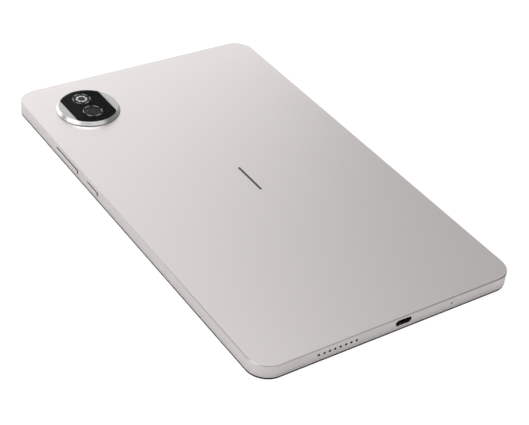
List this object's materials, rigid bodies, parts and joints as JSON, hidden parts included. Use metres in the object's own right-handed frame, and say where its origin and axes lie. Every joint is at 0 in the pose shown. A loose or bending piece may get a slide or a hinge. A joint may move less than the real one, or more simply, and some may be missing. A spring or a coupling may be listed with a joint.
{
  "type": "tablet computer",
  "caption": "Slim touchscreen tablet with a warm silver metal back, a round camera island, a volume rocker and power key on one long side, and a port and speaker holes on a short end.",
  "frame": {"origin": "centre of the cover glass's outer face, so the tablet lies screen down on z = 0", "axes": "+Y along the long side towards the end with the camera, +X across the short side away from the keys, +Z out of the rear cover"},
  "size_m": [0.1505, 0.2484, 0.0103],
  "materials": {
    "black_glass": "polished",
    "frame_plastic": "fine satin, moulded",
    "panel_glass": "polarising film",
    "diffuser_film": "milky film",
    "clear_acrylic": "clear, dotted underside",
    "lamp_strip": "white strip with yellow lamps",
    "tray_metal": "rolled sheet",
    "graphite": "dull sheen",
    "copper_flex": "polyimide over copper",
    "housing_metal": "bead-blasted and anodised, warm silver",
    "badge_enamel": "satin dark grey",
    "ring_metal": "polished bevel, turned flats",
    "window_glass": "clear, polished edge, over black foam",
    "black_foam": "die-cut foam, adhesive both sides",
    "trim_metal": "turned and dyed black",
    "module_plastic": "moulded",
    "lens_barrel": "black barrel with coated front lens",
    "circuit_board": "solder mask",
    "lamp_diffuser": "milky, ribbed",
    "lamp_board": "white board with yellow lamp",
    "key_metal": "bead-blasted and anodised, warm silver",
    "steel_sheet": "stamped sheet",
    "dome_metal": "pressed spring steel",
    "screw_steel": "machined",
    "battery_pouch": "laminated foil in black film",
    "pull_tape": "stretch-release tape",
    "chip_resin": "moulded",
    "tin_plate": "tinned sheet",
    "port_steel": "deep-drawn",
    "tongue_plastic": "glass-filled",
    "gold_contact": "gold-plated",
    "seal_rubber": "soft",
    "microphone_can": "plated can",
    "speaker_plastic": "moulded",
    "driver_steel": "plated yoke",
    "cone_film": "formed film",
    "mesh_steel": "black woven wire",
    "antenna_foil": "plated pattern on a plastic carrier",
    "cable_jacket": "extruded"
  },
  "bodies": {
    "tablet": {"cover_glass": "black_glass", "display_frame": "frame_plastic", "lcd_cell": "panel_glass", "diffuser_films": "diffuser_film", "light_guide": "clear_acrylic", "led_bar": "lamp_strip", "backlight_tray": "tray_metal", "graphite_sheet": "graphite", "display_flex": "copper_flex", "rear_housing": "housing_metal", "rear_badge": "badge_enamel", "camera_ring": "ring_metal", "camera_window": "window_glass", "camera_gasket": "black_foam", "lens_trim": "trim_metal", "lamp_trim": "trim_metal", "rear_camera_body": "module_plastic", "rear_camera_board": "circuit_board", "flash_lens": "lamp_diffuser", "flash_board": "lamp_board", "key_bracket": "steel_sheet", "key_flex": "copper_flex", "key_domes": "dome_metal", "key_screws": "screw_steel", "battery_left": "battery_pouch", "battery_right": "battery_pouch", "battery_board": "circuit_board", "battery_tape": "pull_tape", "main_board": "circuit_board", "processor": "chip_resin", "memory_chip": "chip_resin", "power_chips": "chip_resin", "radio_chip": "chip_resin", "shield_cans": "tin_plate", "main_board_screws": "screw_steel", "sub_board": "circuit_board", "sub_board_screws": "screw_steel", "board_link_flex": "copper_flex", "usb_shell": "port_steel", "usb_tongue": "tongue_plastic", "usb_contacts": "gold_contact", "usb_seal": "seal_rubber", "microphone": "microphone_can", "microphone_boot": "seal_rubber", "bottom_speaker_box": "speaker_plastic", "bottom_speaker_lid": "speaker_plastic", "bottom_speaker_driver": "driver_steel", "bottom_speaker_mesh": "mesh_steel", "top_speaker_box": "speaker_plastic", "top_speaker_lid": "speaker_plastic", "top_speaker_driver": "driver_steel", "top_speaker_mesh": "mesh_steel", "front_camera": "module_plastic", "wifi_antennas": "antenna_foil", "antenna_cables": "cable_jacket"},
    "volume_rocker": {"volume_key": "key_metal"},
    "power_button": {"power_key": "key_metal"},
    "focus_lens": {"rear_camera_lens": "lens_barrel"},
    "bottom_diaphragm": {"bottom_speaker_cone": "cone_film"},
    "top_diaphragm": {"top_speaker_cone": "cone_film"}
  },
  "joints": [
    {"name": "volume_rock", "type": "hinge", "parent": "tablet", "child": "volume_rocker", "pos_m": [-0.0742, 0.0602, 0.004], "axis": [0, 0, 1], "range_deg": [-1.2, 1.2], "stiffness_Nm_per_rad": 0.85},
    {"name": "power_press", "type": "slide", "parent": "tablet", "child": "power_button", "axis": [1, 0, 0], "range_m": [0, 0.0002], "stiffness_N_per_m": 4000},
    {"name": "focus_travel", "type": "slide", "parent": "tablet", "child": "focus_lens", "axis": [0, 0, 1], "range_m": [0, 0.00035], "stiffness_N_per_m": 60},
    {"name": "bottom_diaphragm_travel", "type": "slide", "parent": "tablet", "child": "bottom_diaphragm", "axis": [0, 0, 1], "range_m": [-0.0003, 0.0003], "stiffness_N_per_m": 500},
    {"name": "top_diaphragm_travel", "type": "slide", "parent": "tablet", "child": "top_diaphragm", "axis": [0, 0, 1], "range_m": [-0.0003, 0.0003], "stiffness_N_per_m": 500}
  ]
}
